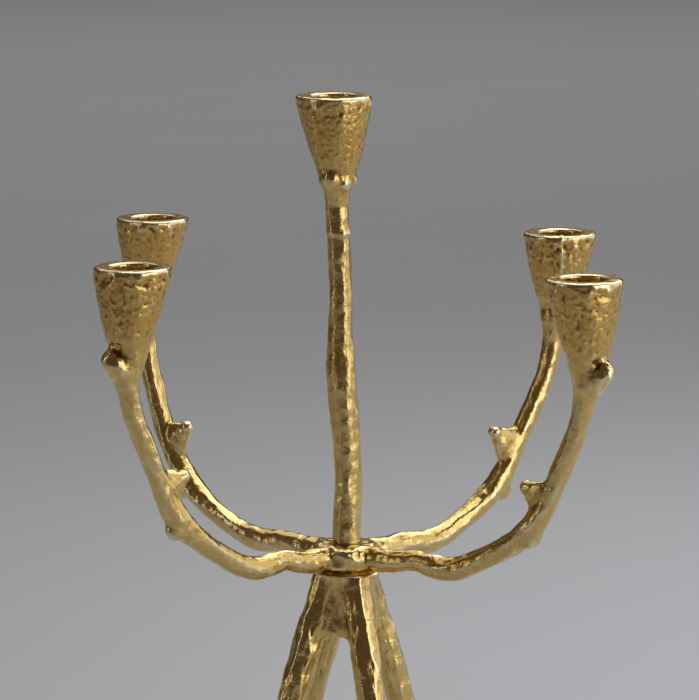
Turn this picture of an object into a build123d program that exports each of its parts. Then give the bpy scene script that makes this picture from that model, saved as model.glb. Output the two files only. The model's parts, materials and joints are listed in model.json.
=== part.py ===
"""Tabletop candelabra of cast branches: five candle cups on four arms and a stem, clamped on four legs.

Millimetres, +Z up. The origin is on the table, under the tie rod that holds the upper part on the legs.
"""

import os
from math import cos, radians, sin, tan
from typing import NamedTuple

from build123d import *

# Candle cups: a tapered tulip round a straight socket for a household taper candle
CANDLE_D = 22.0
CANDLE_CLEARANCE = 0.5
SOCKET_DEPTH = 22.0
CUP_H = 35.5
CUP_BASE_D = 22.7
RIM_WALL = 8.2
LIP_WALL = 6.7
LIP_H = 8.0
FLOOR_WALL = 3.6
RIM_ROUND = 1.6
MOUTH_ROUND = 1.0

# Hub of the arms, a thick disc with a short stub for each arm
HUB_D = 34.0
HUB_H = 13.2
HUB_ROUND = 4.0
STUB_L = 7.0

# Arms: how far out and how high over the middle of the hub their cups stand, and the branch's sizes
ARM_REACH = 140.0
ARM_RISE = 124.0
ARM_ROOT_D = 12.6
ARM_D = 10.8
KNEE_D = 12.2
NECK_D = 12.2
NECK_DROP = 19.0
COLLAR_D = 16.6
COLLAR_DROP = 10.5

# Knots on the arms: a blunt heel, a thorn with a long root below it, and a bud under the cup
KNOT_WAIST = 0.96
KNOT_NECK = 0.94
HEEL_L = 29.0
HEEL_W = 11.4
HEEL_TIP_D = 9.0
THORN_L = 28.0
THORN_W = 10.6
THORN_TIP_D = 7.4
THORN_SKEW = 5.0
BUD_L = 24.0
BUD_W = 14.0
BUD_TIP_D = 12.0
BUD_REACH = 14.6
BUD_DROP = 7.0
BUD_ROOT_DROP = 13.5

# Stem: its foot stands on the hub, and a ring and a burl of lumps go round it below the middle cup
STEM_FOOT_D = 14.8
STEM_H = 195.3
STEM_LEAN = 4.8
STEM_NECK_D = 12.0
RING_DROP = 34.5
RING_LEAN = 4.0
RING_D = 13.2
RING_W = 6.0
LUMP_R = 6.2
MIDDLE_CUP_LEAN = 1.8

# Leg crown: the waisted block under the hub that the legs grow from, with a pocket for the nut
BASE_H = 200.0
SEAM_GAP = 1.2
SEAM_D = 29.0
CROWN_D = 35.0
WAIST_D = 31.0
WAIST_DROP = 15.0
CORE_H = 34.0
CORE_FOOT_D = 36.0
POCKET_D = 20.0
LEG_TOP_R = 9.6
LEG_SPLAY = 18.0
LEG_STUB_L = 46.0
LEG_STUB_D = 15.2

# Legs and felt pads
LEG_D = 13.8
LEG_BOW = -3.0
FOOT_R = 76.0
FOOT_D = 15.0
PAD_D = 12.0
PAD_T = 2.5
PAD_PROUD = 1.0
PAD_CLEARANCE = 0.2

# Spigots that locate the arms, cups and legs
SPIGOT_D = 6.0
SPIGOT_L = 8.0
SPIGOT_CLEARANCE = 0.1
SPIGOT_END_GAP = 0.5

# Tie rod, washer and nut
ROD_D = 8.0
ROD_CLEARANCE = 0.3
ROD_SCREW_CLEARANCE = 0.05
ROD_GRIP = 22.0
ROD_TAIL = 3.0
ROD_CHAMFER = 0.8
WASHER_D = 16.0
WASHER_T = 1.6
NUT_SIDES = 6
NUT_ACROSS_FLATS = 13.0
NUT_H = 6.5
NUT_CHAMFER_ANGLE = 30.0

SOCKET_D = CANDLE_D + 2 * CANDLE_CLEARANCE
HUB_MID_Z = BASE_H + HUB_H / 2
HUB_TOP_Z = BASE_H + HUB_H
ARM_ROOT_R = HUB_D / 2 + STUB_L
CORE_FOOT_Z = BASE_H - CORE_H
POCKET_H = WASHER_T + NUT_H + ROD_TAIL
CLAMP_Z = CORE_FOOT_Z + POCKET_H


class Arm(NamedTuple):
    """One arm, as cast by hand: what it has over the common reach and rise, and the line it takes.

    The bends are shares of the way out from the hub and of the rise. The heel and the thorn are set off
    from the bend and the fork, and the neck and the rim from the cup's foot, all outward and upward.
    """

    name: str
    azimuth: float
    longer: float
    taller: float
    wrist: tuple
    knee: tuple
    flank: tuple
    bend: tuple
    fork: tuple
    upper: tuple
    neck_out: float
    rim_out: float
    heel: tuple
    thorn: tuple


ARMS = [
    Arm(
        "front_left", 219.8, -2.5, 3.5,
        wrist=(0.150, 0.021), knee=(0.282, 0.012), flank=(0.542, 0.113), bend=(0.731, 0.251),
        fork=(0.841, 0.423), upper=(0.943, 0.620), neck_out=0.7, rim_out=-2.9,
        heel=(6.6, -7.1), thorn=(-17.5, 2.8),
    ),
    Arm(
        "front_right", -37.0, 6.3, -2.3,
        wrist=(0.172, 0.021), knee=(0.311, 0.008), flank=(0.507, 0.082), bend=(0.723, 0.226),
        fork=(0.835, 0.395), upper=(0.933, 0.608), neck_out=-0.7, rim_out=-2.2,
        heel=(4.5, -7.0), thorn=(-18.0, 2.8),
    ),
    Arm(
        "back_left", 140.2, -2.4, 4.3,
        wrist=(0.141, 0.010), knee=(0.264, -0.003), flank=(0.520, 0.050), bend=(0.749, 0.183),
        fork=(0.885, 0.362), upper=(0.969, 0.569), neck_out=2.4, rim_out=-3.8,
        heel=(7.0, -7.5), thorn=(-16.5, 9.3),
    ),
    Arm(
        "back_right", 37.0, 0.6, -3.5,
        wrist=(0.120, 0.010), knee=(0.223, -0.003), flank=(0.463, 0.074), bend=(0.651, 0.208),
        fork=(0.767, 0.382), upper=(0.883, 0.572), neck_out=-2.6, rim_out=1.2,
        heel=(5.8, -8.2), thorn=(-18.0, 8.8),
    ),
]

# The stem's bends, as (sideways lean, share of its height), and its diameter at each
STEM_BENDS = [(0.6, 0.216), (-2.4, 0.421), (-3.1, 0.544), (-2.9, 0.666)]
STEM_SIZES = [14.2, 15.4, 13.2, 12.2]

# The lumps of the burl, as (azimuth, drop below the cup, diameter)
LUMPS = [
    (-112.0, 6.0, 11.0), (-62.0, 8.8, 7.6), (-6.0, 7.2, 8.6),
    (62.0, 6.6, 9.8), (150.0, 8.2, 8.6), (208.0, 7.2, 8.2),
]


class Leg(NamedTuple):
    """One leg's azimuth, how far from the rod's axis its line starts, its splay, and its bow outward."""

    name: str
    azimuth: float
    top_r: float
    splay: float
    bow: float


LEGS = [
    Leg("right", 25.0, 8.0, LEG_SPLAY, LEG_BOW),
    Leg("back", 122.0, 0.0, 26.0, 5.0),
    Leg("left", 205.0, LEG_TOP_R, LEG_SPLAY, LEG_BOW),
    Leg("front", 295.0, LEG_TOP_R, LEG_SPLAY, LEG_BOW),
]

# Spacing of the sections that a branch is lofted through
SECTION_STEP = 7.0


def radial_plane(azimuth, height):
    """Upright plane through the rod's axis: local X runs outward and local Y up from the height."""
    a = radians(azimuth)
    return Plane(origin=(0, 0, height), x_dir=(cos(a), sin(a), 0), z_dir=(sin(a), -cos(a), 0))


def way_in(plane, way):
    """A direction in a plane, turned into the model's frame."""
    return plane.x_dir * way.X + plane.y_dir * way.Y


def round_section(centre, along, diameter, side):
    """A disc square to the way it is swept, with its seam kept to one side so that a loft doesn't twist."""
    return Plane(origin=centre, x_dir=side, z_dir=along) * Circle(diameter / 2)


def swelling(stations, t):
    """The diameter at a share of a branch's length, on a smooth line through its stations."""
    spans = list(zip(stations, stations[1:]))
    rates = [(d1 - d0) / (t1 - t0) for (t0, d0), (t1, d1) in spans]
    turns = [(a + b) / 2 if a * b > 0 else 0 for a, b in zip(rates, rates[1:])]
    slopes = [rates[0], *turns, rates[-1]]
    for i, ((t0, d0), (t1, d1)) in enumerate(spans):
        if t <= t1:
            s = (t - t0) / (t1 - t0)
            lift = s * (1 - s) * ((1 - s) * slopes[i] - s * slopes[i + 1]) * (t1 - t0)
            return d0 + (d1 - d0) * s * s * (3 - 2 * s) + lift
    return stations[-1][1]


def branch(plane, bends, sizes, start, end):
    """A round branch lofted through bends in a plane, with a diameter at each and its way at both ends."""
    path = Spline(*bends, tangents=[start, end])
    stations = [(path.param_at_point(p), d) for p, d in zip(bends, sizes)]
    steps = round(path.length / SECTION_STEP)
    path = plane * path
    shares = [i / steps for i in range(steps + 1)]
    return loft([round_section(path @ t, path % t, swelling(stations, t), plane.z_dir) for t in shares])


def knot(plane, root, lie, tip, root_l, root_w, tip_d):
    """A stub of a twig in a branch's plane: a long root along the branch, a waist and a round tip."""
    along = (tip - root).normalized()
    out = Vector(lie.Y, -lie.X).normalized()
    out = out if out.dot(along) > 0 else -out
    ball = tip - along * (tip_d / 2)
    slim = KNOT_WAIST / 2
    sections = [
        (root, out, root_l, root_w),
        ((root + ball) * 0.5, out + along, (root_l + tip_d) * slim, (root_w + tip_d) * slim),
        (ball, along, tip_d * KNOT_NECK, tip_d * KNOT_NECK),
    ]
    ovals = [
        Plane(origin=plane.from_local_coords(c), x_dir=way_in(plane, lie), z_dir=way_in(plane, facing))
        * Ellipse(length / 2, width / 2)
        for c, facing, length, width in sections
    ]
    return loft(ovals) + Pos(plane.from_local_coords(ball)) * Sphere(tip_d / 2)


def rod_between(start, along, length, diameter):
    """A plain round bar from a point."""
    return Plane(origin=start, z_dir=along) * Cylinder(
        diameter / 2, length, align=(Align.CENTER, Align.CENTER, Align.MIN)
    )


def spigot(start, along):
    """The pin on one casting that locates it in the next."""
    return rod_between(start, along, SPIGOT_L, SPIGOT_D)


def spigot_hole(start, along):
    """The hole that takes a spigot."""
    return rod_between(start, along, SPIGOT_L + SPIGOT_END_GAP, SPIGOT_D + 2 * SPIGOT_CLEARANCE)


def candle_cup(seat, rim_shift):
    """A tulip cup on its seat, whose rim stands to one side of its foot. The socket is upright."""
    sizes = [
        (0, CUP_BASE_D),
        (CUP_H - SOCKET_DEPTH, SOCKET_D + 2 * FLOOR_WALL),
        (CUP_H - LIP_H, SOCKET_D + 2 * LIP_WALL),
        (CUP_H, SOCKET_D + 2 * RIM_WALL),
    ]
    cup = loft([Pos(seat + rim_shift * (h / CUP_H) + Vector(0, 0, h)) * Circle(d / 2) for h, d in sizes])
    cup = fillet(cup.edges().sort_by(Axis.Z)[-1], RIM_ROUND)
    rim = seat + rim_shift + Vector(0, 0, CUP_H)
    cup -= rod_between(rim, (0, 0, -1), SOCKET_DEPTH, SOCKET_D)
    socket_rims = cup.edges().filter_by(GeomType.CIRCLE).sort_by(lambda e: abs(e.radius - SOCKET_D / 2))[:2]
    cup = fillet(socket_rims.sort_by(Axis.Z)[-1], MOUTH_ROUND)
    return cup - spigot_hole(seat, (0, 0, 1))


def arm_foot(arm):
    """Where an arm's cup stands, in the arm's plane."""
    return Vector(ARM_REACH + arm.longer, ARM_RISE + arm.taller)


def arm_seat(arm):
    """Where an arm's cup stands, and how far its rim is shifted from there."""
    plane = radial_plane(arm.azimuth, HUB_MID_Z)
    return plane.from_local_coords(arm_foot(arm)), plane.x_dir * arm.rim_out


def cast_arm(arm):
    """One arm: a bent branch with a heel, a thorn and a bud, and a spigot at each end."""
    plane = radial_plane(arm.azimuth, HUB_MID_Z)
    root, seat = Vector(ARM_ROOT_R, 0), arm_foot(arm)
    way = seat - root
    line = [arm.wrist, arm.knee, arm.flank, arm.bend, arm.fork, arm.upper]
    wrist, knee, flank, bend, fork, upper = (root + Vector(way.X * out, way.Y * up) for out, up in line)
    neck = seat + Vector(arm.neck_out, -NECK_DROP)
    collar = seat + (neck - seat) * (COLLAR_DROP / NECK_DROP)
    bends = [root, wrist, knee, flank, bend, fork, upper, neck, collar, seat]
    sizes = [ARM_ROOT_D, ARM_D, KNEE_D, ARM_D, KNEE_D, ARM_D, ARM_D, NECK_D, COLLAR_D, CUP_BASE_D]
    body = branch(plane, bends, sizes, (1, 0), (0, 1))
    body += knot(plane, bend, fork - flank, bend + Vector(*arm.heel), HEEL_L, HEEL_W, HEEL_TIP_D)
    lie = (upper - bend).normalized()
    thorn_root, thorn_tip = fork - lie * THORN_SKEW, fork + Vector(*arm.thorn)
    body += knot(plane, thorn_root, lie, thorn_tip, THORN_L, THORN_W, THORN_TIP_D)
    bud_root, bud_tip = seat - Vector(0, BUD_ROOT_DROP), seat + Vector(BUD_REACH, -BUD_DROP)
    body += knot(plane, bud_root, Vector(0, 1), bud_tip, BUD_L, BUD_W, BUD_TIP_D)
    body += spigot(plane.from_local_coords(root), -plane.x_dir)
    return body + spigot(plane.from_local_coords(seat), (0, 0, 1))


def arm_hub():
    """The disc that the arms meet in, bored for the tie rod."""
    hub = Pos(0, 0, HUB_MID_Z) * Cylinder(HUB_D / 2, HUB_H)
    hub = fillet(hub.edges().filter_by(GeomType.CIRCLE), HUB_ROUND)
    for arm in ARMS:
        out = radial_plane(arm.azimuth, HUB_MID_Z).x_dir
        hub += rod_between((0, 0, HUB_MID_Z), out, ARM_ROOT_R, ARM_ROOT_D)
        root = Vector(0, 0, HUB_MID_Z) + out * ARM_ROOT_R
        hub -= spigot_hole(root, -out)
    return hub - Pos(0, 0, HUB_MID_Z) * Cylinder(ROD_D / 2 + ROD_CLEARANCE, HUB_H)


def stem_seat():
    """Where the middle cup stands."""
    return Vector(-STEM_LEAN, 0, HUB_TOP_Z + STEM_H)


def stem():
    """The upright branch in the middle, with its ring, its burl and the threaded hole for the tie rod."""
    top = stem_seat()
    bends = [Vector(0, 0), *(Vector(lean, share * STEM_H) for lean, share in STEM_BENDS)]
    bends += [Vector(-STEM_LEAN, STEM_H - drop) for drop in (NECK_DROP, COLLAR_DROP, 0)]
    sizes = [STEM_FOOT_D, *STEM_SIZES, STEM_NECK_D, COLLAR_D, CUP_BASE_D]
    body = branch(radial_plane(0, HUB_TOP_Z), bends, sizes, (0, 1), (0, 1))
    body += Pos(-RING_LEAN, 0, top.Z - RING_DROP) * Torus((RING_D - RING_W) / 2, RING_W / 2)
    for azimuth, drop, size in LUMPS:
        lump = Pos(top + radial_plane(azimuth, -drop).from_local_coords(Vector(LUMP_R, 0))) * Sphere(size / 2)
        body += split(lump, Plane(top), keep=Keep.BOTTOM)
    body -= rod_between((0, 0, HUB_TOP_Z), (0, 0, 1), ROD_GRIP, ROD_D + 2 * ROD_SCREW_CLEARANCE)
    return body + spigot(top, (0, 0, 1))


def leg_line(leg):
    """A leg's plane, where it leaves the crown, and its way down there, in that plane."""
    splay = radians(leg.splay)
    way = Vector(sin(splay), -cos(splay))
    return radial_plane(leg.azimuth, 0), Vector(leg.top_r, BASE_H) + way * LEG_STUB_L, way


def leg_crown():
    """The block that the legs grow from, with a raised seat for the hub and a pocket for the nut."""
    shoulder = BASE_H - SEAM_GAP
    edge, foot = (CROWN_D / 2, shoulder), (CORE_FOOT_D / 2, CORE_FOOT_Z)
    rim, step = (SEAM_D / 2, BASE_H), (SEAM_D / 2, shoulder)
    outline = Polyline(foot, (0, CORE_FOOT_Z), (0, BASE_H), rim, step, edge)
    outline += ThreePointArc(edge, (WAIST_D / 2, BASE_H - WAIST_DROP), foot)
    crown = revolve(make_face(Plane.XZ * outline), Axis.Z)
    ends = [
        (plane.from_local_coords(seat), -way_in(plane, way)) for plane, seat, way in map(leg_line, LEGS)
    ]
    stubs = [rod_between(end, up, 2 * LEG_STUB_L, LEG_STUB_D) for end, up in ends]
    crown += [split(stub, Plane.XY.offset(shoulder), keep=Keep.BOTTOM) for stub in stubs]
    for end, up in ends:
        crown -= spigot_hole(end, up)
    crown -= rod_between((0, 0, CLAMP_Z), (0, 0, -1), 2 * POCKET_H, POCKET_D)
    return crown - rod_between((0, 0, CORE_FOOT_Z), (0, 0, 1), CORE_H, ROD_D + 2 * ROD_CLEARANCE)


def cast_leg(leg):
    """One leg: a bowed branch from the crown's stub to a foot cut level over its pad."""
    plane, seat, way = leg_line(leg)
    foot = Vector(FOOT_R, PAD_PROUD)
    down = (foot - seat).normalized()
    middle = (seat + foot) * 0.5 + Vector(-down.Y, down.X) * leg.bow
    toe = foot + down * FOOT_D
    body = branch(plane, [seat, middle, foot, toe], [LEG_STUB_D, LEG_D, FOOT_D, FOOT_D], way, down)
    body = split(body, Plane.XY.offset(PAD_PROUD), keep=Keep.TOP)
    body += spigot(plane.from_local_coords(seat), -way_in(plane, way))
    ground = plane.from_local_coords(foot)
    return body - rod_between(ground, (0, 0, 1), PAD_T - PAD_PROUD, PAD_D + 2 * PAD_CLEARANCE)


def foot_pad(leg):
    """A felt disc in the recess under a foot."""
    centre = radial_plane(leg.azimuth, 0).from_local_coords(Vector(FOOT_R, 0))
    return rod_between(centre, (0, 0, 1), PAD_T, PAD_D)


def tie_rod():
    """The rod that is screwed into the stem and pulls it down on the hub and the crown."""
    low = CLAMP_Z - WASHER_T - NUT_H - ROD_TAIL
    rod = rod_between((0, 0, low), (0, 0, 1), HUB_TOP_Z + ROD_GRIP - low, ROD_D)
    return chamfer(rod.edges().filter_by(GeomType.CIRCLE), ROD_CHAMFER)


def washer():
    """The flat washer against the top of the crown's pocket."""
    ring = Circle(WASHER_D / 2) - Circle(ROD_D / 2 + ROD_CLEARANCE)
    return Pos(0, 0, CLAMP_Z - WASHER_T) * extrude(ring, WASHER_T)


def nut():
    """The hexagon nut that clamps the rod, with its corners turned off at a shallow angle."""
    high = CLAMP_Z - WASHER_T
    low = high - NUT_H
    flat_r = NUT_ACROSS_FLATS / 2
    corner_r = flat_r / cos(radians(180 / NUT_SIDES))
    drop = (corner_r - flat_r) * tan(radians(NUT_CHAMFER_ANGLE))
    outline = RegularPolygon(flat_r, NUT_SIDES, major_radius=False) - Circle(ROD_D / 2 + ROD_SCREW_CLEARANCE)
    turned = Polyline(
        (0, low), (flat_r, low), (corner_r, low + drop), (corner_r, high - drop), (flat_r, high), (0, high),
        close=True,
    )
    return Pos(0, 0, low) * extrude(outline, NUT_H) & revolve(Plane.XZ * make_face(turned), Axis.Z)


def write(node, shape):
    """Write one piece to its own file."""
    export_step(shape, f"parts/{node}.step")


def main():
    os.makedirs("parts", exist_ok=True)
    write("leg_crown", leg_crown())
    for leg in LEGS:
        write(f"leg_{leg.name}", cast_leg(leg))
        write(f"foot_pad_{leg.name}", foot_pad(leg))
    write("arm_hub", arm_hub())
    for arm in ARMS:
        write(f"arm_{arm.name}", cast_arm(arm))
        write(f"candle_cup_{arm.name}", candle_cup(*arm_seat(arm)))
    write("stem", stem())
    write("candle_cup_middle", candle_cup(stem_seat(), Vector(-MIDDLE_CUP_LEAN, 0, 0)))
    write("tie_rod", tie_rod())
    write("washer", washer())
    write("nut", nut())


main()
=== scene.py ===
"""Dresses the tabletop candelabra in cast old gold, plated steel and felt, on a plain stage."""

import json
import math
from typing import NamedTuple

import bmesh
import bpy
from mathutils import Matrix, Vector, noise


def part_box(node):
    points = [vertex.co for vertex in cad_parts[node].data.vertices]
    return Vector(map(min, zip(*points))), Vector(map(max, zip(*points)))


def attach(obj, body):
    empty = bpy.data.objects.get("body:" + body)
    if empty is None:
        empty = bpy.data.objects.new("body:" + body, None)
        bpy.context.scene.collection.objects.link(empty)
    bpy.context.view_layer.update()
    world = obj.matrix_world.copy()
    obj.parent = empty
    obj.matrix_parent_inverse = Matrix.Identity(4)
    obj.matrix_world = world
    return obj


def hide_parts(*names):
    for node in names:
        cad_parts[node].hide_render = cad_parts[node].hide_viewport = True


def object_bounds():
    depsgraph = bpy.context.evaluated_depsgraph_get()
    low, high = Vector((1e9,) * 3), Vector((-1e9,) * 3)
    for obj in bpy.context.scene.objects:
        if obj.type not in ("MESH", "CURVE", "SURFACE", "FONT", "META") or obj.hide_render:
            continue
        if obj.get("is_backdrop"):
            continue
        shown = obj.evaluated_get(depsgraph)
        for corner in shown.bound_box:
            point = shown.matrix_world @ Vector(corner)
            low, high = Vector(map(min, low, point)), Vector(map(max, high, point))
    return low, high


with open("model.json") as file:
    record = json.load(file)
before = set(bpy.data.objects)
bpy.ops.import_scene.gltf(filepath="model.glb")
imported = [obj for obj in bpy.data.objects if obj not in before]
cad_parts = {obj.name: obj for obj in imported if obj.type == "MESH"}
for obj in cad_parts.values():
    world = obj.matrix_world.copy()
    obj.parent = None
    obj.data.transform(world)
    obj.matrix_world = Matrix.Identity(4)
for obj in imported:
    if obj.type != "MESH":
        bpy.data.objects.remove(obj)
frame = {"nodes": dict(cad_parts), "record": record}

bl_info = {
    "name": "Cast branch candelabra",
    "version": (1, 0, 0),
    "blender": (4, 5, 0),
    "location": "3D View > Sidebar > Candelabra",
    "description": "Dresses the candelabra's frame in cast gold, plated steel and felt",
    "category": "Object",
}

CAD_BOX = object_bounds()
MM = 0.001
UP = Vector((0, 0, 1))
MOUNTS = {mount["name"]: mount for mount in frame["record"]["mounts"]}

# Points nearer than this are one point
MERGE = 0.001 * MM


class ArmShape(NamedTuple):
    """How far an arm's cup stands from the rod's axis, and where the arm's knots grow.

    The bend and the fork are shares of the way out from the hub and of the rise. The heel and the thorn are
    set off from them, outward and upward, in millimetres.
    """

    reach: float
    bend: tuple
    heel: tuple
    fork: tuple
    thorn: tuple


ARMS = {
    "front_left": ArmShape(
        137.5 * MM, bend=(0.731, 0.251), heel=(6.6, -7.1), fork=(0.841, 0.423), thorn=(-17.5, 2.8)),
    "front_right": ArmShape(
        146.3 * MM, bend=(0.723, 0.226), heel=(4.5, -7.0), fork=(0.835, 0.395), thorn=(-18.0, 2.8)),
    "back_left": ArmShape(
        137.6 * MM, bend=(0.749, 0.183), heel=(7.0, -7.5), fork=(0.885, 0.362), thorn=(-16.5, 9.3)),
    "back_right": ArmShape(
        140.6 * MM, bend=(0.651, 0.208), heel=(5.8, -8.2), fork=(0.767, 0.382), thorn=(-18.0, 8.8)),
}
ARM_ROOT = 24.0 * MM

# A bud's tip, out from and below its cup's seat, and the places of the swelling and the hollow by that tip
BUD_REACH = 14.6 * MM
BUD_DROP = 7.0 * MM
BUD_ROOT = 9 * MM
HOLLOW_IN = 8 * MM
HOLLOW_FRONT = 6 * MM

# Each leg's distance from the rod's axis at its top, and its splay in degrees where it leaves the crown
LEGS = {"right": (8.0 * MM, 18), "back": (0.0, 26), "left": (9.6 * MM, 18), "front": (9.6 * MM, 18)}
STEM_FOOT_RADIUS = 7.4 * MM
STEM_FOOT_ROOM = 1 * MM

# Marks along a branch are this many times longer than wide, and finer by this on the legs
DRAWN_OUT = 4.0
LEG_FINENESS = 1.4

# Distances from the rod's axis between which the marks begin to follow an arm or a leg
HUB_BLEND = (16 * MM, 30 * MM)
CROWN_BLEND = (12 * MM, 22 * MM)

# The crown's own share of the wear, and where wear fades out at its top and at the feet
CROWN_WEAR = 0.5
CROWN_TOP = (0.0, 1.2 * MM)
FOOT_FADE = (2 * MM, 6 * MM)

# Shares of the settings' wear on branches, on cups and under rims
BRANCH_PEBBLES = 0.6
CUP_FLATS = 0.6
CUP_STREAKS = 0.6
CUP_LUMPS = 0.7
CUP_PEBBLES = 2.2
RIM_LUMPS = 2

# Rounding of the ridges between gouges, their steepness, and the level of the plain skin among them
CREST = 0.3
GOUGE_SLOPE = 1.6
GOUGE_LEVEL = 0.45

# Height and radius of the swellings at a heel and under a bud, and depth and radius of the hollow by the bud
HEEL_SWELL = (2.2 * MM, 8 * MM)
BUD_SWELL = (2.2 * MM, 7 * MM)
BUD_HOLLOW = (1.6 * MM, 4 * MM)

# Height and width of the parting line on the back right cup
PARTING_LINE = (0.6 * MM, 0.9 * MM)

# A cup's skin begins below its seat and is whole above it
CUP_BELOW = 16 * MM
CUP_ABOVE = 8 * MM

# Depths below a rim at which its bulges end, and at which its skin calms down
BULGE_DEPTHS = (5 * MM, 11 * MM)
CALM_DEPTHS = (1 * MM, 4.5 * MM)
RIM_CALM = 0.3

# Where a socket's true cut fades out: past its wall, and below its mouth
LIP = (0.5 * MM, 3 * MM)
SOCKET_FLOOR = (26 * MM, 23 * MM)

# Sizes of the parts of the castings that are filled deeper, rounded or cut true
KNOT_RADIUS = 20 * MM
HEEL_RADIUS = 11 * MM
SEAT_RADIUS = 16 * MM
SCREW_RADIUS = 5 * MM
SCREW_DEPTH = 30 * MM
FLAT_DEPTH = 0.3 * MM
BURL = (-40 * MM, 4 * MM)
POCKET_RADIUS = 11 * MM
POCKET_DEPTH = 45 * MM
WEB_RADII = (11.5 * MM, 25 * MM)
WEB_DEPTHS = (6 * MM, 40 * MM)
FOOT_FLAT = 3 * MM

# How much of its wear a part that is cut true is spared
BORE_CALM = 0.85

# Relief is measured from a skin that is evened by these passes, over this height
RELIEF_PASSES = 24
RELIEF_HEIGHT = 0.5 * MM

# Room round a node's box when its part of a casting is cut out
CUT_ROOM = Vector((4 * MM,) * 3)

# Steps and sides of the turned pieces
ROD_STEPS = 32
WASHER_STEPS = 64
NUT_STEPS = 96
PAD_STEPS = 96
PAD_ROWS = 6
NUT_SIDES = 6
NUT_CHAMFER = math.radians(30)
FIBRE_WIDTH = 0.6 * MM

# Soft boxes: name, place, what they look at, size and brightness
MIDDLE = (0.0, 0.0, 0.30)
LAMPS = [
    ("key_box", (0.98, -0.82, 0.60), MIDDLE, (0.95, 1.15), 1.6),
    ("overhead_box", (0.25, 0.40, 1.35), MIDDLE, (1.0, 1.7), 1.6),
    ("right_box", (1.35, 0.40, 0.85), MIDDLE, (2.0, 1.7), 0.80),
    ("left_strip", (-1.1, -0.4, 0.70), MIDDLE, (0.12, 1.2), 1.8),
    ("back_box", (0.0, 4.6, 3.4), (0.0, 4.6, 0.0), (5.0, 6.0), 0.8),
]

# Castings that have been skinned and worn already, by body
castings = {}


def linear(code):
    """An sRGB hex colour as linear red, green and blue."""
    shares = [int(code[i:i + 2], 16) / 255 for i in (1, 3, 5)]
    return [s / 12.92 if s <= 0.04045 else ((s + 0.055) / 1.055) ** 2.4 for s in shares]


class CastingSettings(bpy.types.PropertyGroup):
    """How the castings are skinned and worn."""

    skin: bpy.props.FloatProperty(
        name="Skin", description="Spacing of the points in a casting's skin",
        default=0.55 * MM, min=0.3 * MM, unit="LENGTH")
    smoothing: bpy.props.IntProperty(
        name="Smoothing", description="Passes that round the skin's corners", default=8, min=0)
    filling: bpy.props.IntProperty(
        name="Filling", description="Passes that fill the inward corners between branches", default=50, min=0)
    deep_filling: bpy.props.IntProperty(
        name="Deep filling", description="Further passes where a knot grows out of a branch",
        default=140, min=0)
    melting: bpy.props.IntProperty(
        name="Melting", description="Passes that round everything where branches run together",
        default=150, min=0)
    gouge_width: bpy.props.FloatProperty(
        name="Gouge width", description="Width of the long gouges along a branch",
        default=6.5 * MM, unit="LENGTH")
    gouge_depth: bpy.props.FloatProperty(
        name="Gouge depth", description="Depth of the long gouges along a branch",
        default=0.72 * MM, unit="LENGTH")
    grain_width: bpy.props.FloatProperty(
        name="Grain width", description="Width of the bark's grain along a branch",
        default=3.0 * MM, unit="LENGTH")
    grain_depth: bpy.props.FloatProperty(
        name="Grain depth", description="Depth of the bark's grain along a branch",
        default=0.30 * MM, unit="LENGTH")
    lump_width: bpy.props.FloatProperty(
        name="Lump width", description="Width of the lumps left by the mould",
        default=5.2 * MM, unit="LENGTH")
    lump_height: bpy.props.FloatProperty(
        name="Lump height", description="Height of the lumps left by the mould",
        default=0.34 * MM, unit="LENGTH")
    pebble_width: bpy.props.FloatProperty(
        name="Pebble width", description="Width of the pebbles of the casting's skin",
        default=2.2 * MM, unit="LENGTH")
    pebble_height: bpy.props.FloatProperty(
        name="Pebble height", description="Height of the pebbles of the casting's skin",
        default=0.15 * MM, unit="LENGTH")


class FinishSettings(bpy.types.PropertyGroup):
    """Colours of the finishes."""

    # The ridges' pale gold is partly rubbed wear and partly a painted highlight
    ridge: bpy.props.FloatVectorProperty(
        name="Worn gold and painted highlight", description="Colour of the polished ridges", subtype="COLOR",
        default=linear("#F0E2B8"))
    branch: bpy.props.FloatVectorProperty(
        name="Branch gold", description="Colour of the branches", subtype="COLOR", default=linear("#DFC079"))
    cup: bpy.props.FloatVectorProperty(
        name="Cup gold", description="Colour of the cups", subtype="COLOR", default=linear("#D6AF63"))
    patina: bpy.props.FloatVectorProperty(
        name="Patina", description="Colour in the casting's hollows", subtype="COLOR",
        default=linear("#7A4E1A"))
    zinc: bpy.props.FloatVectorProperty(
        name="Zinc", description="Colour of the plated steel", subtype="COLOR", default=linear("#B9BCBF"))
    felt: bpy.props.FloatVectorProperty(
        name="Felt", description="Colour of the felt pads", subtype="COLOR", default=linear("#4A3A2A"))


class ClampSettings(bpy.types.PropertyGroup):
    """The tie rod's thread, the nut, the washer and the felt pads."""

    pitch: bpy.props.FloatProperty(
        name="Pitch", description="Rise of the tie rod's thread in one turn",
        default=1.25 * MM, unit="LENGTH")
    thread_depth: bpy.props.FloatProperty(
        name="Thread depth", description="Depth of the tie rod's thread", default=0.68 * MM, unit="LENGTH")
    edge: bpy.props.FloatProperty(
        name="Edge", description="Width of the broken edges of the washer and the nut's bore",
        default=0.25 * MM, unit="LENGTH")
    fuzz: bpy.props.FloatProperty(
        name="Fuzz", description="How far the felt's fibres stand out of the pads' edges",
        default=0.18 * MM, unit="LENGTH")


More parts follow.
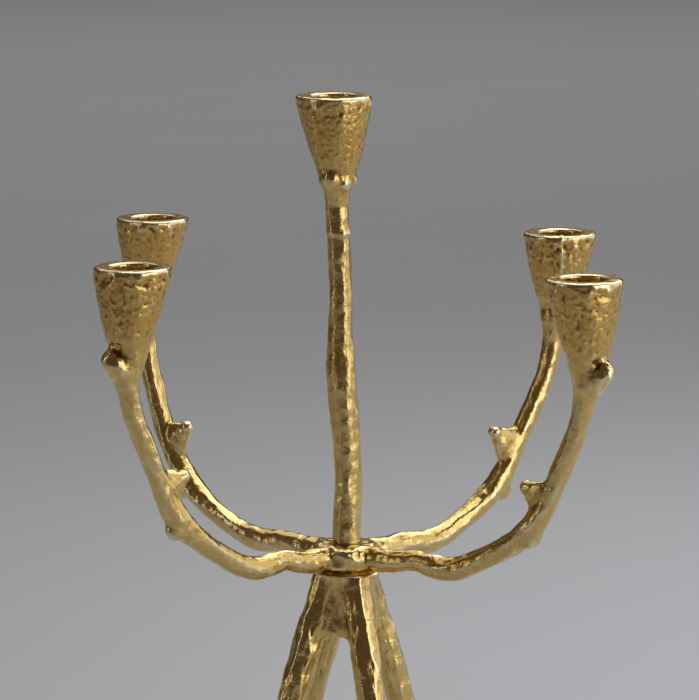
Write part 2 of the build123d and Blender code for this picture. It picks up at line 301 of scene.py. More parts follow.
class StageSettings(bpy.types.PropertyGroup):
    """The floor, the lamps and the camera."""

    floor_radius: bpy.props.FloatProperty(
        name="Floor radius", description="Radius of the floor", default=8.0, unit="LENGTH")
    floor_colour: bpy.props.FloatVectorProperty(
        name="Floor", description="Colour of the floor", subtype="COLOR", default=linear("#C2C5CB"))
    air: bpy.props.FloatProperty(
        name="Air", description="Strength of the even light from all round", default=0.08, min=0)
    air_colour: bpy.props.FloatVectorProperty(
        name="Air colour", description="Colour of the even light", subtype="COLOR", default=linear("#FFE6C4"))
    camera_place: bpy.props.FloatVectorProperty(
        name="Camera", description="Place of the camera", subtype="TRANSLATION", unit="LENGTH",
        default=(0.0015, -1.838, 0.629))
    camera_pitch: bpy.props.FloatProperty(
        name="Pitch", description="How far the camera looks down", subtype="ANGLE", unit="ROTATION",
        default=math.radians(9.74))
    lens: bpy.props.FloatProperty(
        name="Lens", description="Focal length in millimetres on a 36 mm sensor", default=187.97)


def finishes():
    """The colours of the finishes."""
    return bpy.context.scene.candelabra_finish


def casting_settings():
    """How the castings are skinned and worn."""
    return bpy.context.scene.candelabra_casting


def ease(low, high, x):
    """0 below low, 1 above high, eased between."""
    s = min(1.0, max(0.0, (x - low) / (high - low)))
    return s * s * (3 - 2 * s)


# Materials


def add(tree, kind, inputs=None, **settings):
    """Add a node: settings go on its properties, and each input gets a value or a link."""
    made = tree.nodes.new(kind)
    for name, value in settings.items():
        setattr(made, name, value)
    for name, value in (inputs or {}).items():
        socket = made.inputs[name]
        if isinstance(value, bpy.types.NodeSocket):
            tree.links.new(value, socket)
        else:
            socket.default_value = value
    return made


def per_mm(size):
    """The scale of a pattern whose features are a size in millimetres apart."""
    return 1 / (size * MM)


def colour(rgb):
    """A colour property with its alpha."""
    return (*rgb, 1.0)


def new_material(name):
    """An empty node material, and its tree and output."""
    made = bpy.data.materials.get(name) or bpy.data.materials.new(name)
    made.use_nodes = True
    made.node_tree.nodes.clear()
    return made, made.node_tree, add(made.node_tree, "ShaderNodeOutputMaterial")


def cast_gold(name, grain_depth_mm, roughness):
    """Cast aluminium plated in old gold: brown patina in the hollows, and paler on the ridges, partly where
    the gold is worn and partly as a painted highlight.

    Stains run down it where the brown was wiped off unevenly. The grain of the mould breaks the reflections
    into small flecks, and the gloss changes from place to place.
    """
    made, tree, out = new_material(name)
    tone = finishes()
    coords = add(tree, "ShaderNodeTexCoord")
    relief = add(tree, "ShaderNodeAttribute", attribute_name="relief")
    cup = add(tree, "ShaderNodeAttribute", attribute_name="cup")
    # Clouds of more and less patina, so that the brown doesn't follow the hollows exactly
    cloud = add(tree, "ShaderNodeTexNoise", {
        "Vector": coords.outputs["Object"], "Scale": per_mm(9.0), "Detail": 3.0})
    drawn = add(tree, "ShaderNodeVectorMath", {
        0: coords.outputs["Object"], 1: (1.0, 1.0, 0.25)}, operation="MULTIPLY")
    stain = add(tree, "ShaderNodeTexNoise", {
        "Vector": drawn.outputs[0], "Scale": per_mm(2.8), "Detail": 3.0})
    wiped = add(tree, "ShaderNodeMapRange", {"Value": stain.outputs["Fac"], "To Min": -0.20, "To Max": 0.20})
    spread = add(tree, "ShaderNodeMath", {
        0: cloud.outputs["Fac"], 1: 0.20, 2: wiped.outputs["Result"]}, operation="MULTIPLY_ADD")
    height = add(tree, "ShaderNodeMath", {0: relief.outputs["Fac"], 1: spread.outputs[0]}, operation="ADD")
    # Brown patina in the hollows, gold between, and pale on the ridges: partly where hands and cloths have
    # rubbed them, partly a painted highlight that makes their reflections creamy
    hollow = add(tree, "ShaderNodeMapRange", {"Value": height.outputs[0], "From Min": 0.22, "From Max": 0.56})
    worn = add(tree, "ShaderNodeMapRange", {"Value": height.outputs[0], "From Min": 0.80, "From Max": 1.20})
    # The cups are browner than the branches, and run into them without a line
    gold = add(tree, "ShaderNodeMix", {
        0: cup.outputs["Fac"], 6: colour(tone.branch), 7: colour(tone.cup)}, data_type="RGBA")
    old = add(tree, "ShaderNodeMix", {
        0: hollow.outputs["Result"], 6: colour(tone.patina), 7: gold.outputs[2]}, data_type="RGBA")
    body = add(tree, "ShaderNodeMix", {
        0: worn.outputs["Result"], 6: old.outputs[2], 7: colour(tone.ridge)}, data_type="RGBA")
    gloss = add(tree, "ShaderNodeMapRange", {
        "Value": height.outputs[0], "From Min": 0.3, "From Max": 1.0,
        "To Min": roughness + 0.08, "To Max": roughness})
    # Fine grain of the sand mould
    grain = add(tree, "ShaderNodeTexNoise", {
        "Vector": coords.outputs["Object"], "Scale": per_mm(1.2), "Detail": 2.0})
    bump = add(tree, "ShaderNodeBump", {
        "Height": grain.outputs["Fac"], "Strength": 0.8, "Distance": grain_depth_mm * MM})
    shader = add(tree, "ShaderNodeBsdfPrincipled", {
        "Base Color": body.outputs[2], "Metallic": 1.0, "Roughness": gloss.outputs["Result"],
        "Normal": bump.outputs["Normal"]})
    tree.links.new(shader.outputs[0], out.inputs["Surface"])
    return made


def zinc_plate(name):
    """Zinc-plated steel: pale grey, clouded by the bath, with a fine grain."""
    made, tree, out = new_material(name)
    tone = finishes()
    coords = add(tree, "ShaderNodeTexCoord")
    # Clouds left by the bath, duller where they are darker
    cloud = add(tree, "ShaderNodeTexNoise", {
        "Vector": coords.outputs["Object"], "Scale": per_mm(3.0), "Detail": 4.0})
    patch = add(tree, "ShaderNodeMapRange", {"Value": cloud.outputs["Fac"], "From Min": 0.3, "From Max": 0.7})
    body = add(tree, "ShaderNodeMix", {
        0: patch.outputs["Result"], 6: colour([c * 0.72 for c in tone.zinc]), 7: colour(tone.zinc)},
        data_type="RGBA")
    gloss = add(tree, "ShaderNodeMapRange", {
        "Value": cloud.outputs["Fac"], "To Min": 0.38, "To Max": 0.24})
    # Fine grain of the plating
    grain = add(tree, "ShaderNodeTexNoise", {
        "Vector": coords.outputs["Object"], "Scale": per_mm(0.4), "Detail": 1.0})
    bump = add(tree, "ShaderNodeBump", {
        "Height": grain.outputs["Fac"], "Strength": 0.25, "Distance": 0.03 * MM})
    shader = add(tree, "ShaderNodeBsdfPrincipled", {
        "Base Color": body.outputs[2], "Metallic": 1.0, "Roughness": gloss.outputs["Result"],
        "Normal": bump.outputs["Normal"]})
    tree.links.new(shader.outputs[0], out.inputs["Surface"])
    return made


def wool_felt(name):
    """Pressed wool felt: matt brown, flecked by fibres that lie every way."""
    made, tree, out = new_material(name)
    tone = finishes()
    coords = add(tree, "ShaderNodeTexCoord")
    # Light and dark fibres, which also roughen the surface
    fibres = add(tree, "ShaderNodeTexNoise", {
        "Vector": coords.outputs["Object"], "Scale": per_mm(0.5), "Detail": 4.0, "Distortion": 2.0})
    fleck = add(tree, "ShaderNodeMapRange", {
        "Value": fibres.outputs["Fac"], "From Min": 0.3, "From Max": 0.7})
    body = add(tree, "ShaderNodeMix", {
        0: fleck.outputs["Result"], 6: colour([c * 0.55 for c in tone.felt]),
        7: colour([c * 1.35 for c in tone.felt])}, data_type="RGBA")
    bump = add(tree, "ShaderNodeBump", {
        "Height": fibres.outputs["Fac"], "Strength": 0.8, "Distance": 0.2 * MM})
    shader = add(tree, "ShaderNodeBsdfPrincipled", {
        "Base Color": body.outputs[2], "Roughness": 0.95, "Sheen Weight": 0.3,
        "Normal": bump.outputs["Normal"]})
    tree.links.new(shader.outputs[0], out.inputs["Surface"])
    return made


def studio_paper(name):
    """Matt pale paper of the studio floor, with the faintest mottle."""
    made, tree, out = new_material(name)
    tone = bpy.context.scene.candelabra_stage.floor_colour
    coords = add(tree, "ShaderNodeTexCoord")
    cloud = add(tree, "ShaderNodeTexNoise", {"Vector": coords.outputs["Object"], "Scale": per_mm(400.0)})
    body = add(tree, "ShaderNodeMix", {
        0: cloud.outputs["Fac"], 6: colour([c * 0.95 for c in tone]), 7: colour(tone)}, data_type="RGBA")
    shader = add(tree, "ShaderNodeBsdfPrincipled", {"Base Color": body.outputs[2], "Roughness": 0.9})
    tree.links.new(shader.outputs[0], out.inputs["Surface"])
    return made


# Castings


def joined(nodes):
    """Copies of the frame's meshes in one bmesh, each with its loose triangles merged."""
    bm = bmesh.new()
    for node in nodes:
        first = len(bm.verts)
        bm.from_mesh(frame["nodes"][node].data)
        bm.verts.ensure_lookup_table()
        bmesh.ops.remove_doubles(bm, verts=bm.verts[first:], dist=MERGE)
    return bm


def skinned(bm, spacing):
    """One closed skin over a bmesh, with points about a spacing apart."""
    mesh = bpy.data.meshes.new("skin")
    bm.to_mesh(mesh)
    bm.free()
    obj = bpy.data.objects.new("skin", mesh)
    bpy.context.collection.objects.link(obj)
    remesh = obj.modifiers.new("Skin", "REMESH")
    remesh.mode = "VOXEL"
    remesh.voxel_size = spacing
    graph = bpy.context.evaluated_depsgraph_get()
    skin = bpy.data.meshes.new_from_object(obj.evaluated_get(graph))
    bm = bmesh.new()
    bm.from_mesh(skin)
    bpy.data.objects.remove(obj)
    bpy.data.meshes.remove(mesh)
    bpy.data.meshes.remove(skin)
    return bm


def smooth(bm, passes, inside=None):
    """Even out a bmesh's vertices a number of times, or those that lie inside."""
    chosen = [vert for vert in bm.verts if inside(vert.co)] if inside else bm.verts
    for _ in range(passes):
        bmesh.ops.smooth_vert(bm, verts=chosen, factor=0.5, use_axis_x=True, use_axis_y=True, use_axis_z=True)


def islands(bm):
    """The vertices of each connected part of a bmesh."""
    left = set(bm.verts)
    found = []
    while left:
        seed = left.pop()
        group, stack = [seed], [seed]
        while stack:
            for edge in stack.pop().link_edges:
                for vert in edge.verts:
                    if vert in left:
                        left.discard(vert)
                        group.append(vert)
                        stack.append(vert)
        found.append(group)
    return found


def socket_of(cup):
    """The middle of a cup's socket mouth, and its radius."""
    mount = MOUNTS["candle_socket_" + cup]
    x, y, _ = mount["pos_m"]
    return Vector((x, y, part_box("candle_cup_" + cup)[1].z)), mount["dims"]["r_mm"] * MM


def gouges(q, size):
    """Shallow gouge marks with rounded ridges between them, from 0 in a gouge to about 1 on a ridge."""
    here, next_one = noise.voronoi(q / size)[0][:2]
    crest = max(CREST - (next_one - here), 0.0)
    return min(1.0, (here - crest ** 2 / (4 * CREST)) ** 2 * GOUGE_SLOPE)


def branch_wear(q, p, shape):
    """How far a branch's skin stands proud at a point p, with q the point drawn out along the branch."""
    gouge = shape.gouge_depth * (gouges(q, shape.gouge_width) - GOUGE_LEVEL)
    grain = shape.grain_depth * noise.noise(q / shape.grain_width)
    lump = shape.lump_height * noise.noise(p / shape.lump_width)
    pebble = shape.pebble_height * BRANCH_PEBBLES * noise.noise(p / shape.pebble_width)
    return gouge + grain + lump + pebble


def cup_wear(q, p, shape):
    """How far a cup's skin stands proud at a point p: pebbled, with faint upright flats."""
    flat = shape.gouge_depth * CUP_FLATS * (gouges(q, shape.gouge_width) - GOUGE_LEVEL)
    streak = shape.grain_depth * CUP_STREAKS * noise.noise(q / shape.grain_width)
    lump = shape.lump_height * CUP_LUMPS * noise.noise(p / shape.lump_width)
    pebble = shape.pebble_height * CUP_PEBBLES * noise.noise(p / shape.pebble_width)
    return flat + streak + lump + pebble


def rim_wear(push, p, mouth, shape):
    """A push on a cup's skin with the bulges under the rim added, and calmed on the rim itself."""
    depth = mouth.z - p.z
    lump = shape.lump_height * RIM_LUMPS * noise.noise(p / shape.lump_width)
    bulge = lump * (1 - ease(*BULGE_DEPTHS, depth))
    return (push + bulge) * (RIM_CALM + (1 - RIM_CALM) * ease(*CALM_DEPTHS, depth))


def cup_share(p, seat):
    """1 on a cup, 0 on the branch under its seat, eased between."""
    return ease(seat - CUP_BELOW, seat + CUP_ABOVE, p.z)


def cupped(push, q, p, seat, mouth, shape):
    """A push on a branch's skin, turned into a cup's above its seat."""
    return rim_wear(push + (cup_wear(q, p, shape) - push) * cup_share(p, seat), p, mouth, shape)


def raised(swell, place, p):
    """A swell's height at its place, falling softly to about a third at its radius."""
    height, radius = swell
    return height * math.exp(-((p - place).length / radius) ** 2)


def in_socket(p, mouth, radius):
    """1 inside a cup's socket and on its mouth, 0 from its lip outwards and below its floor."""
    wall, lip = (radius + past for past in LIP)
    below, floor = (mouth.z - depth for depth in SOCKET_FLOOR)
    return (1 - ease(wall, lip, math.hypot(p.x - mouth.x, p.y - mouth.y))) * ease(below, floor, p.z)


class ArmLine:
    """Where one arm runs: a quarter circle from the hub up to its cup."""

    def __init__(self, arm):
        self.mouth, self.radius = socket_of(arm)
        flat = Vector((self.mouth.x, self.mouth.y, 0))
        self.way = flat.normalized()
        self.side = self.way.cross(UP)
        self.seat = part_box("candle_cup_" + arm)[0].z
        lo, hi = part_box("arm_hub")
        hub = UP * (lo.z + hi.z) / 2
        self.rise = self.seat - hub.z
        self.centre = flat.length - self.rise
        self.knots = [hub + self.way * out + UP * up for out, up in self.tips(ARMS[arm])]
        self.neck = flat + UP * self.seat
        # Below the bud the branch is thicker, and beside it, on the viewer's side, it has a hollow
        self.root = self.knots[-1] - (self.way + UP) * BUD_ROOT
        self.hollow = self.knots[-1] - self.way * HOLLOW_IN - Vector((0, HOLLOW_FRONT, 0))

    def tips(self, shape):
        """The tips of the arm's heel, thorn and bud, as (out, up) from the middle of the hub."""
        length = shape.reach - ARM_ROOT
        grown = [(shape.bend, shape.heel), (shape.fork, shape.thorn)]
        knots = [
            (ARM_ROOT + length * share_out + out * MM, self.rise * share_up + up * MM)
            for (share_out, share_up), (out, up) in grown
        ]
        return [*knots, (shape.reach + BUD_REACH, self.rise - BUD_DROP)]

    def drawn(self, p):
        """A point in the arm's own coordinates, drawn out fourfold along the arm."""
        x, z = p.dot(self.way) - self.centre, p.z - self.seat
        return Vector((math.atan2(z, x) * self.rise / DRAWN_OUT, math.hypot(x, z), p.dot(self.side)))


def fill_corners(bm, passes, bored, inside=None):
    """Round off the inward corners where branches meet, and leave the rest, as a mould does."""
    bm.normal_update()
    even = bm.copy()
    smooth(even, passes, inside)
    for vert, flat in zip(bm.verts, even.verts):
        rise = (flat.co - vert.co).dot(vert.normal)
        if rise > 0:
            vert.co += vert.normal * rise * (1 - bored(vert.co))
    even.free()


def relieve(bm, wear_at, bored):
    """Push a skin in and out along its normals, hardly at all where it is bored."""
    bm.normal_update()
    pushes = [wear_at(vert.co) * (1 - BORE_CALM * bored(vert.co)) for vert in bm.verts]
    for vert, push in zip(bm.verts, pushes):
        vert.co += vert.normal * push


def mark(bm, cup_at):
    """Keep on each vertex how far it stands out, 0 in hollows to 1 on ridges, and how far it is a cup's."""
    bm.normal_update()
    relief = bm.verts.layers.float.new("relief")
    cup = bm.verts.layers.float.new("cup")
    even = bm.copy()
    smooth(even, RELIEF_PASSES)
    for vert, flat in zip(bm.verts, even.verts):
        vert[relief] = 0.5 + (vert.co - flat.co).dot(vert.normal) / RELIEF_HEIGHT
        vert[cup] = cup_at(vert.co)
    even.free()


def casting(body, nodes, wear_at, cup_at, bored, filled, melted):
    """Some nodes of a body as one worn casting, made once.

    Cup_at is 1 on the cups, and bored is 1 where the castings are cut true. Filled and melted say where the
    corners are filled deeper and where everything is rounded.
    """
    if body not in castings:
        shape = casting_settings()
        bm = skinned(joined(nodes), shape.skin)
        smooth(bm, shape.smoothing)
        fill_corners(bm, shape.filling, bored)
        fill_corners(bm, shape.deep_filling, bored, filled)
        smooth(bm, shape.melting, melted)
        relieve(bm, wear_at, bored)
        mark(bm, cup_at)
        castings[body] = bm
    return castings[body]


def arm_casting():
    """The hub, the arms and their cups."""
    shape = casting_settings()
    lines = [ArmLine(arm) for arm in ARMS]
    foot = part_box("arm_hub")[0].z
    stem_foot = STEM_FOOT_RADIUS + STEM_FOOT_ROOM

    def line_at(p):
        return max(lines, key=lambda line: p.dot(line.way))

    def cup_at(p):
        return cup_share(p, line_at(p).seat)

    def wear_at(p):
        line = line_at(p)
        plain = branch_wear(p, p, shape)
        q = line.drawn(p)
        push = plain + (branch_wear(q, p, shape) - plain) * ease(*HUB_BLEND, math.hypot(p.x, p.y))
        push = cupped(push, q, p, line.seat, line.mouth, shape)
        if line is lines[-1] and p.y < line.mouth.y:
            # The mould's parting line, down the front of the back right cup
            height, width = PARTING_LINE
            push += height * math.exp(-((p.x - line.mouth.x) / width) ** 2) * cup_at(p)
        swell = raised(HEEL_SWELL, line.knots[0], p) + raised(BUD_SWELL, line.root, p)
        return push + swell - raised(BUD_HOLLOW, line.hollow, p)

    def knots(p):
        return any((p - knot).length < KNOT_RADIUS for line in lines for knot in [*line.knots, line.neck])

    def heels(p):
        return any((p - line.knots[0]).length < HEEL_RADIUS for line in lines)

    def bored(p):
        line = line_at(p)
        r = math.hypot(p.x, p.y)
        seat = p.z < foot + FLAT_DEPTH and r < SEAT_RADIUS
        return float(r < stem_foot or seat) or in_socket(p, line.mouth, line.radius)

    nodes = ["arm_hub", *("arm_" + arm for arm in ARMS), *("candle_cup_" + arm for arm in ARMS)]
    return casting("arm_cross", nodes, wear_at, cup_at, bored, knots, heels)


def stem_casting():
    """The stem and the middle cup."""
    shape = casting_settings()
    mouth, radius = socket_of("middle")
    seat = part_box("candle_cup_middle")[0].z
    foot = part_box("stem")[0].z

    def cup_at(p):
        return cup_share(p, seat)

    def wear_at(p):
        q = Vector((p.x, p.y, p.z / DRAWN_OUT))
        return cupped(branch_wear(q, p, shape), q, p, seat, mouth, shape)

    def bored(p):
        screw = math.hypot(p.x, p.y) < SCREW_RADIUS and p.z < foot + SCREW_DEPTH
        return float(screw or p.z < foot + FLAT_DEPTH) or in_socket(p, mouth, radius)

    def burl(p):
        return BURL[0] < p.z - seat < BURL[1]

    return casting("stem", ["stem", "candle_cup_middle"], wear_at, cup_at, bored, burl, lambda p: False)


def leg_foot(leg):
    """The middle of a leg's foot, and the level direction towards it."""
    foot = Vector(MOUNTS["foot_" + leg]["pos_m"])
    return foot, Vector((foot.x, foot.y, 0)).normalized()


def leg_ways():
    """The direction of each leg, from the crown down to its foot."""
    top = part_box("leg_crown")[1].z
    ways = []
    for leg, (top_radius, _) in LEGS.items():
        foot, flat = leg_foot(leg)
        ways.append((foot - flat * top_radius - UP * top).normalized())
    return ways


def leg_casting():
    """The crown and the legs."""
    shape = casting_settings()
    ways = leg_ways()
    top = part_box("leg_crown")[1].z

    def wear_at(p):
        way = max(ways, key=lambda w: p.x * w.x + p.y * w.y)
        q = (p - way * (p.dot(way) * (1 - 1 / DRAWN_OUT))) * LEG_FINENESS
        plain = branch_wear(p, p, shape) * CROWN_WEAR
        push = plain + (branch_wear(q, p, shape) - plain) * ease(*CROWN_BLEND, math.hypot(p.x, p.y))
        return push * ease(*CROWN_TOP, top - p.z) * ease(*FOOT_FADE, p.z)

    def bored(p):
        pocket = math.hypot(p.x, p.y) < POCKET_RADIUS and p.z > top - POCKET_DEPTH
        return float(pocket or p.z < FOOT_FLAT)

    def web(p):
        ring = WEB_RADII[0] < math.hypot(p.x, p.y) < WEB_RADII[1]
        return ring and WEB_DEPTHS[0] < top - p.z < WEB_DEPTHS[1]

    nodes = ["leg_crown", *("leg_" + leg for leg in LEGS)]
    return casting("base", nodes, wear_at, lambda p: 0.0, bored, web, web)


def cut(bm, node, planes):
    """The part of a casting that stands for a node: inside its box, and on the kept side of each plane.

    A plane is a point and a direction into the part that is kept. The cuts are closed flat.
    """
    bm = bm.copy()
    lo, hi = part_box(node)
    lo, hi = lo - CUT_ROOM, hi + CUT_ROOM
    far = [v for v in bm.verts if any(not a <= c <= b for a, c, b in zip(lo, v.co, hi))]
    bmesh.ops.delete(bm, geom=far, context="VERTS")
    for place, keep in planes:
        everything = [*bm.verts, *bm.edges, *bm.faces]
        bmesh.ops.bisect_plane(
            bm, geom=everything, dist=MERGE, plane_co=place, plane_no=keep, clear_inner=True)
    whole = max(islands(bm), key=len)
    rest = set(bm.verts) - set(whole)
    bmesh.ops.delete(bm, geom=list(rest), context="VERTS")
    for face in bm.faces:
        face.smooth = True
    rims = [edge for edge in bm.edges if edge.is_boundary]
    caps = bmesh.ops.holes_fill(bm, edges=rims, sides=0)["faces"]
    for edge in rims:
        edge.smooth = False
    bmesh.ops.triangulate(bm, faces=caps)
    return bm


def piece(bm, name, body, slot, material, *nodes):
    """Finish a bmesh as a piece that rides on a body and stands for nodes."""
    mesh = bpy.data.meshes.new(name)
    bm.to_mesh(mesh)
    bm.free()
    mesh.materials.append(material)
    obj = bpy.data.objects.new(name, mesh)
    bpy.context.collection.objects.link(obj)
    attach(obj, body)
    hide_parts(*nodes)
    return obj


def reach(node, way):
    """The point of a node that lies furthest along a direction, on that direction."""
    return way * max(v.co.dot(way) for v in frame["nodes"][node].data.vertices)


def cup_seam(cup):
    """The level plane between an arm or the stem and its cup."""
    return Vector((0, 0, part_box("candle_cup_" + cup)[0].z))


def hub_seams():
    """The upright plane between the hub and each arm, with the arm's direction."""
    ways = {arm: ArmLine(arm).way for arm in ARMS}
    return {arm: (reach("arm_hub", way), way) for arm, way in ways.items()}


def leg_seams():
    """The plane between the crown and each leg, with the leg's direction."""
    seams = {}
    for leg, (_, degrees) in LEGS.items():
        splay = math.radians(degrees)
        way = leg_foot(leg)[1] * math.sin(splay) - UP * math.cos(splay)
        seams[leg] = (reach("leg_crown", way), way)
    return seams


def branch_gold():
    """The branches' gold, polished by hand."""
    return cast_gold("Cast gold branch", grain_depth_mm=0.17, roughness=0.18)


def cup_gold():
    """The cups' gold, coarser and a little duller."""
    return cast_gold("Cast gold cup", grain_depth_mm=0.20, roughness=0.20)


class CANDELABRA_OT_arm_hub(bpy.types.Operator):
    """Make the hub where the arms meet"""

    bl_idname = "candelabra.arm_hub"
    bl_label = "Arm hub"

    def execute(self, context):
        planes = [(place, -way) for place, way in hub_seams().values()]
        bm = cut(arm_casting(), "arm_hub", planes)
        piece(bm, "cast_arm_hub", "arm_cross", "gold_branch", branch_gold(), "arm_hub")
        return {"FINISHED"}


class CANDELABRA_OT_arms(bpy.types.Operator):
    """Make the four arms"""

    bl_idname = "candelabra.arms"
    bl_label = "Arms"

    def execute(self, context):
        for arm, (place, way) in hub_seams().items():
            node = "arm_" + arm
            bm = cut(arm_casting(), node, [(place, way), (cup_seam(arm), -UP)])
            piece(bm, "cast_" + node, "arm_cross", "gold_branch", branch_gold(), node)
        return {"FINISHED"}


class CANDELABRA_OT_cups(bpy.types.Operator):
    """Make the five candle cups"""

    bl_idname = "candelabra.cups"
    bl_label = "Candle cups"

    def execute(self, context):
        for cup in [*ARMS, "middle"]:
            node = "candle_cup_" + cup
            source, body = (stem_casting(), "stem") if cup == "middle" else (arm_casting(), "arm_cross")
            bm = cut(source, node, [(cup_seam(cup), UP)])
            piece(bm, "cast_" + node, body, "gold_cup", cup_gold(), node)
        return {"FINISHED"}


class CANDELABRA_OT_stem(bpy.types.Operator):
    """Make the stem"""

    bl_idname = "candelabra.stem"
    bl_label = "Stem"

    def execute(self, context):
        bm = cut(stem_casting(), "stem", [(cup_seam("middle"), -UP)])
        piece(bm, "cast_stem", "stem", "gold_branch", branch_gold(), "stem")
        return {"FINISHED"}


class CANDELABRA_OT_leg_crown(bpy.types.Operator):
    """Make the crown that the legs grow from"""

    bl_idname = "candelabra.leg_crown"
    bl_label = "Leg crown"

    def execute(self, context):
        planes = [(place, -way) for place, way in leg_seams().values()]
        bm = cut(leg_casting(), "leg_crown", planes)
        piece(bm, "cast_leg_crown", "base", "gold_branch", branch_gold(), "leg_crown")
        return {"FINISHED"}


class CANDELABRA_OT_legs(bpy.types.Operator):
    """Make the four legs"""

    bl_idname = "candelabra.legs"
    bl_label = "Legs"

    def execute(self, context):
        for leg, (place, way) in leg_seams().items():
            node = "leg_" + leg
            bm = cut(leg_casting(), node, [(place, way)])
            piece(bm, "cast_" + node, "base", "gold_branch", branch_gold(), node)
        return {"FINISHED"}


def turned(points, centre, steps, lift=0.0):
    """A line of (radius, height) points turned once round an upright axis, rising by a lift on the way."""
    bm = bmesh.new()
    verts = [bm.verts.new(centre + Vector((r, 0, z))) for r, z in points]
    edges = [bm.edges.new(pair) for pair in zip(verts, verts[1:])]
    bmesh.ops.spin(
        bm, geom=[*verts, *edges], cent=centre, axis=UP, dvec=UP * (lift / steps), angle=2 * math.pi,
        steps=steps, use_merge=not lift)
    bmesh.ops.remove_doubles(bm, verts=bm.verts, dist=MERGE)
    bmesh.ops.recalc_face_normals(bm, faces=bm.faces)
    return bm


def trimmed(bm, planes):
    """A bmesh cut off flat by planes, each a point and a direction out of what is kept."""
    for place, out in planes:
        everything = [*bm.verts, *bm.edges, *bm.faces]
        bmesh.ops.bisect_plane(
            bm, geom=everything, dist=MERGE, plane_co=place, plane_no=out, clear_outer=True)
        rims = [edge for edge in bm.edges if edge.is_boundary]
        bmesh.ops.holes_fill(bm, edges=rims, sides=0)
    bmesh.ops.recalc_face_normals(bm, faces=bm.faces)
    return bm


def radii(node):
    """The smallest and the largest distance of a node's points from the rod's axis."""
    found = [math.hypot(v.co.x, v.co.y) for v in frame["nodes"][node].data.vertices]
    return min(found), max(found)


def broken_ring(inner, outer, low, high, edge):
    """The outline of a flat ring with its four corners broken, closed."""
    outline = [
        (inner + edge, low), (outer - edge, low), (outer, low + edge), (outer, high - edge),
        (outer - edge, high), (inner + edge, high), (inner, high - edge), (inner, low + edge),
    ]
    return [*outline, outline[0]]


class CANDELABRA_OT_tie_rod(bpy.types.Operator):
    """Make the tie rod with its screw thread"""

    bl_idname = "candelabra.tie_rod"
    bl_label = "Tie rod"

    def execute(self, context):
        clamp = context.scene.candelabra_clamp
        lo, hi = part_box("tie_rod")
        crest = hi.x
        root = crest - clamp.thread_depth
        turns = math.ceil((hi.z - lo.z) / clamp.pitch) + 2
        start = lo.z - 2 * clamp.pitch
        line = [(crest if i % 2 else root, start + i * clamp.pitch / 2) for i in range(2 * turns + 1)]
        bm = trimmed(turned(line, Vector(), ROD_STEPS, clamp.pitch), [(lo, -UP), (hi, UP)])
        piece(bm, "threaded_tie_rod", "stem", "zinc_steel", zinc_plate("Zinc plate"), "tie_rod")
        return {"FINISHED"}


class CANDELABRA_OT_washer(bpy.types.Operator):
    """Make the washer"""

    bl_idname = "candelabra.washer"
    bl_label = "Washer"

    def execute(self, context):
        edge = context.scene.candelabra_clamp.edge
        lo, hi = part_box("washer")
        ring = broken_ring(*radii("washer"), lo.z, hi.z, edge)
        bm = turned(ring, Vector(), WASHER_STEPS)
        piece(bm, "flat_washer", "base", "zinc_steel", zinc_plate("Zinc plate"), "washer")
        return {"FINISHED"}


class CANDELABRA_OT_nut(bpy.types.Operator):
    """Make the hexagon nut"""

    bl_idname = "candelabra.nut"
    bl_label = "Nut"

    def execute(self, context):
        edge = context.scene.candelabra_clamp.edge
        lo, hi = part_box("nut")
        bore, corner = radii("nut")
        flat = hi.y
        drop = (corner - flat) * math.tan(NUT_CHAMFER)
        ring = [
            (bore + edge, lo.z), (flat, lo.z), (corner, lo.z + drop), (corner, hi.z - drop), (flat, hi.z),
            (bore + edge, hi.z), (bore, hi.z - edge), (bore, lo.z + edge), (bore + edge, lo.z),
        ]
        turns = [(i + 0.5) * 2 * math.pi / NUT_SIDES for i in range(NUT_SIDES)]
        ways = [Vector((math.cos(turn), math.sin(turn), 0)) for turn in turns]
        bm = trimmed(turned(ring, Vector(), NUT_STEPS), [(way * flat, way) for way in ways])
        piece(bm, "hexagon_nut", "nut", "zinc_steel", zinc_plate("Zinc plate"), "nut")
        return {"FINISHED"}


class CANDELABRA_OT_pads(bpy.types.Operator):
    """Make the four felt pads"""

    bl_idname = "candelabra.pads"
    bl_label = "Felt pads"

    def execute(self, context):
        fuzz = context.scene.candelabra_clamp.fuzz
        for leg in LEGS:
            node = "foot_pad_" + leg
            lo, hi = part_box(node)
            centre = Vector(((lo.x + hi.x) / 2, (lo.y + hi.y) / 2, 0))
            radius, soft = (hi.x - lo.x) / 2 - fuzz, 2 * fuzz
            rows = [i / PAD_ROWS for i in range(PAD_ROWS + 1)]
            side = [(radius, lo.z + soft + (hi.z - lo.z - 2 * soft) * row) for row in rows]
            outline = [(0, lo.z), (radius - soft, lo.z), *side, (radius - soft, hi.z), (0, hi.z)]
            bm = turned(outline, centre, PAD_STEPS)

            def fibres(p):
                return fuzz * noise.noise(p / FIBRE_WIDTH) * ease(0, soft, p.z) * ease(0, soft, hi.z - p.z)

            relieve(bm, fibres, lambda p: 0.0)
            for face in bm.faces:
                face.smooth = True
            piece(bm, "felt_" + node, "base", "felt", wool_felt("Wool felt"), node)
        return {"FINISHED"}


class CANDELABRA_OT_stage(bpy.types.Operator):
    """Make the floor, the lamps and the camera"""

    bl_idname = "candelabra.stage"
    bl_label = "Stage"

    def execute(self, context):
        stage = context.scene.candelabra_stage
        lay_floor(stage)
        for lamp in LAMPS:
            hang_lamp(*lamp)
        light_air(stage)
        aim_camera(stage)
        context.scene.view_settings.view_transform = "Standard"
        return {"FINISHED"}


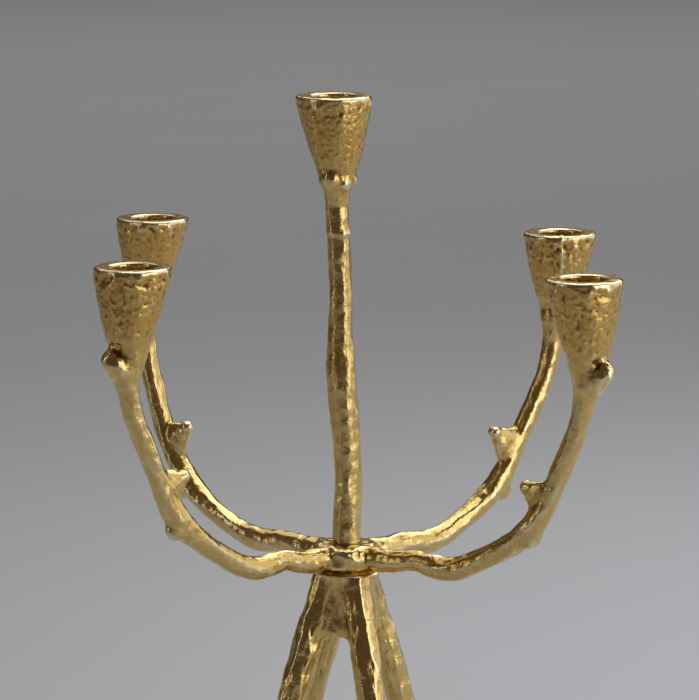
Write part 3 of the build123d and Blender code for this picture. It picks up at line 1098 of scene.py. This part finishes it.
def lay_floor(stage):
    """A round pale floor under the pads."""
    bm = bmesh.new()
    bmesh.ops.create_circle(bm, cap_ends=True, radius=stage.floor_radius, segments=128)
    mesh = bpy.data.meshes.new("floor")
    bm.to_mesh(mesh)
    bm.free()
    mesh.materials.append(studio_paper("Studio paper"))
    floor = bpy.data.objects.new("floor", mesh)
    bpy.context.collection.objects.link(floor)
    floor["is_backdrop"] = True


def hang_lamp(name, place, aim, size, brightness):
    """A soft box of a brightness, in which 1 is white paper in plain light."""
    lamp = bpy.data.lights.new(name, "AREA")
    lamp.shape = "RECTANGLE"
    lamp.size, lamp.size_y = size
    lamp.energy = brightness * math.pi * size[0] * size[1]
    obj = bpy.data.objects.new(name, lamp)
    obj.location = place
    obj.rotation_euler = (Vector(aim) - Vector(place)).to_track_quat("-Z", "Y").to_euler()
    bpy.context.collection.objects.link(obj)


def light_air(stage):
    """Even, dim, warm light from all round."""
    world = bpy.data.worlds.new("Studio air")
    world.use_nodes = True
    background = world.node_tree.nodes["Background"]
    background.inputs["Color"].default_value = colour(stage.air_colour)
    background.inputs["Strength"].default_value = stage.air
    bpy.context.scene.world = world


def aim_camera(stage):
    """The camera, at the photograph's place."""
    camera = bpy.data.cameras.new("camera")
    camera.lens = stage.lens
    obj = bpy.data.objects.new("camera", camera)
    obj.location = stage.camera_place
    obj.rotation_euler = (math.pi / 2 - stage.camera_pitch, 0, 0)
    bpy.context.collection.objects.link(obj)
    bpy.context.scene.camera = obj


SETTINGS = {
    "candelabra_casting": CastingSettings,
    "candelabra_finish": FinishSettings,
    "candelabra_clamp": ClampSettings,
    "candelabra_stage": StageSettings,
}
OPERATORS = [
    CANDELABRA_OT_arm_hub, CANDELABRA_OT_arms, CANDELABRA_OT_cups, CANDELABRA_OT_stem,
    CANDELABRA_OT_leg_crown, CANDELABRA_OT_legs, CANDELABRA_OT_pads, CANDELABRA_OT_tie_rod,
    CANDELABRA_OT_washer, CANDELABRA_OT_nut, CANDELABRA_OT_stage,
]


class CANDELABRA_PT_pieces(bpy.types.Panel):
    """Lists the pieces and the settings they are made from"""

    bl_idname = "CANDELABRA_PT_pieces"
    bl_label = "Candelabra"
    bl_space_type = "VIEW_3D"
    bl_region_type = "UI"
    bl_category = "Candelabra"

    def draw(self, context):
        for operator in OPERATORS:
            self.layout.operator(operator.bl_idname)
        for name, group in SETTINGS.items():
            for prop in group.__annotations__:
                self.layout.prop(getattr(context.scene, name), prop)


CLASSES = [*SETTINGS.values(), *OPERATORS, CANDELABRA_PT_pieces]


def register():
    """Register the classes, and give the scene their settings."""
    for cls in CLASSES:
        bpy.utils.register_class(cls)
    for name, group in SETTINGS.items():
        setattr(bpy.types.Scene, name, bpy.props.PointerProperty(type=group))


def unregister():
    """Take the settings and the classes away again."""
    for name in SETTINGS:
        delattr(bpy.types.Scene, name)
    for cls in reversed(CLASSES):
        bpy.utils.unregister_class(cls)


def main():
    """Make every piece and the stage."""
    register()
    bpy.ops.candelabra.arm_hub()
    bpy.ops.candelabra.arms()
    bpy.ops.candelabra.cups()
    bpy.ops.candelabra.stem()
    bpy.ops.candelabra.leg_crown()
    bpy.ops.candelabra.legs()
    bpy.ops.candelabra.pads()
    bpy.ops.candelabra.tie_rod()
    bpy.ops.candelabra.washer()
    bpy.ops.candelabra.nut()
    bpy.ops.candelabra.stage()
    boxes = {"cad": CAD_BOX, "visual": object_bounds()}
    {name: [list(corner) for corner in box] for name, box in boxes.items()}


if __name__ == "__main__":
    main()
